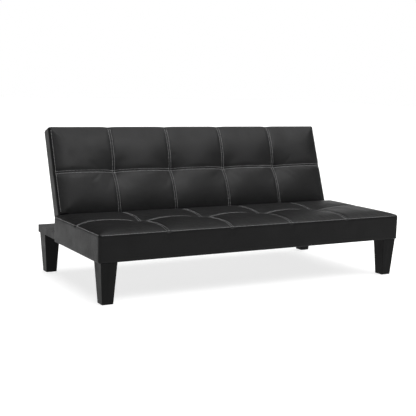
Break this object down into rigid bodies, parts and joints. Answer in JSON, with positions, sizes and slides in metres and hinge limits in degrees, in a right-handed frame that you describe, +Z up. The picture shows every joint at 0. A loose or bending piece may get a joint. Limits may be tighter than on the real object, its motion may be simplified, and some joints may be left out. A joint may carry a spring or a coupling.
{
  "type": "futon sofa bed",
  "caption": "Armless sofa bed: tufted faux-leather seat box and back panel on ratchet hinges that lay the back flat over a rear shelf, on tapered legs.",
  "frame": {"origin": "on the floor, under the middle of the bounding box", "axes": "+X along the sofa's width (the sitter's left), +Y from the seat's front edge to the rear, +Z up"},
  "size_m": [1.86, 0.9, 0.82],
  "materials": {
    "faux_leather": "satin",
    "lining_cloth": "matte",
    "foam": "matte",
    "felt": "matte",
    "twine": "matte",
    "pine": "satin",
    "shelf_lacquer": "satin",
    "leg_lacquer": "satin",
    "spring_steel": "satin",
    "hinge_steel": "satin",
    "zinc_steel": "satin",
    "glide_plastic": "matte"
  },
  "bodies": {
    "base": {"frame_bolts": "zinc_steel", "frame_nuts": "zinc_steel", "front_left_leg": "leg_lacquer", "front_right_leg": "leg_lacquer", "hinge_bracket_bolts": "zinc_steel", "hinge_foot_screws": "zinc_steel", "left_hinge_block": "pine", "left_hinge_bracket": "hinge_steel", "leg_glides": "glide_plastic", "leg_hanger_bolts": "zinc_steel", "leg_threaded_inserts": "zinc_steel", "pawl_pins": "zinc_steel", "pawl_springs": "spring_steel", "pivot_bolts": "zinc_steel", "pivot_nuts": "zinc_steel", "rear_left_leg": "leg_lacquer", "rear_right_leg": "leg_lacquer", "right_hinge_block": "pine", "right_hinge_bracket": "hinge_steel", "seat_corner_blocks": "pine", "seat_cover": "faux_leather", "seat_deck_felt": "felt", "seat_dust_cloth": "lining_cloth", "seat_foam": "foam", "seat_front_rail": "pine", "seat_left_rail": "pine", "seat_rear_rail": "pine", "seat_right_rail": "pine", "seat_spring_clips": "zinc_steel", "seat_springs": "spring_steel", "seat_stretchers": "pine", "seat_tuft_ties": "twine", "seat_tuft_washers": "zinc_steel", "shelf_bearers": "pine", "shelf_bottom_panel": "shelf_lacquer", "shelf_corner_blocks": "pine", "shelf_front_rail": "shelf_lacquer", "shelf_left_rail": "shelf_lacquer", "shelf_rear_rail": "shelf_lacquer", "shelf_right_rail": "shelf_lacquer", "shelf_top_panel": "shelf_lacquer"},
    "back": {"back_battens": "pine", "back_bottom_rail": "pine", "back_cover": "faux_leather", "back_deck_felt": "felt", "back_foam": "foam", "back_left_rail": "pine", "back_rear_lining": "lining_cloth", "back_right_rail": "pine", "back_spring_clips": "zinc_steel", "back_springs": "spring_steel", "back_top_rail": "pine", "back_tuft_ties": "twine", "back_tuft_washers": "zinc_steel", "left_hinge_arm": "hinge_steel", "right_hinge_arm": "hinge_steel", "hinge_arm_bolts": "zinc_steel"},
    "left_pawl": {"left_pawl": "hinge_steel"},
    "right_pawl": {"right_pawl": "hinge_steel"}
  },
  "joints": [
    {"name": "back_recline", "type": "hinge", "parent": "base", "child": "back", "pos_m": [0, 0.227, 0.313], "axis": [-1, 0, 0], "range_deg": [-12, 70]},
    {"name": "left_pawl_lift", "type": "hinge", "parent": "base", "child": "left_pawl", "pos_m": [-0.868, 0.199, 0.281], "axis": [-1, 0, 0], "range_deg": [0, 8], "stiffness_Nm_per_rad": 0.1, "springref_deg": -17.19},
    {"name": "right_pawl_lift", "type": "hinge", "parent": "base", "child": "right_pawl", "pos_m": [0.868, 0.199, 0.281], "axis": [-1, 0, 0], "range_deg": [0, 8], "stiffness_Nm_per_rad": 0.1, "springref_deg": -17.19}
  ]
}
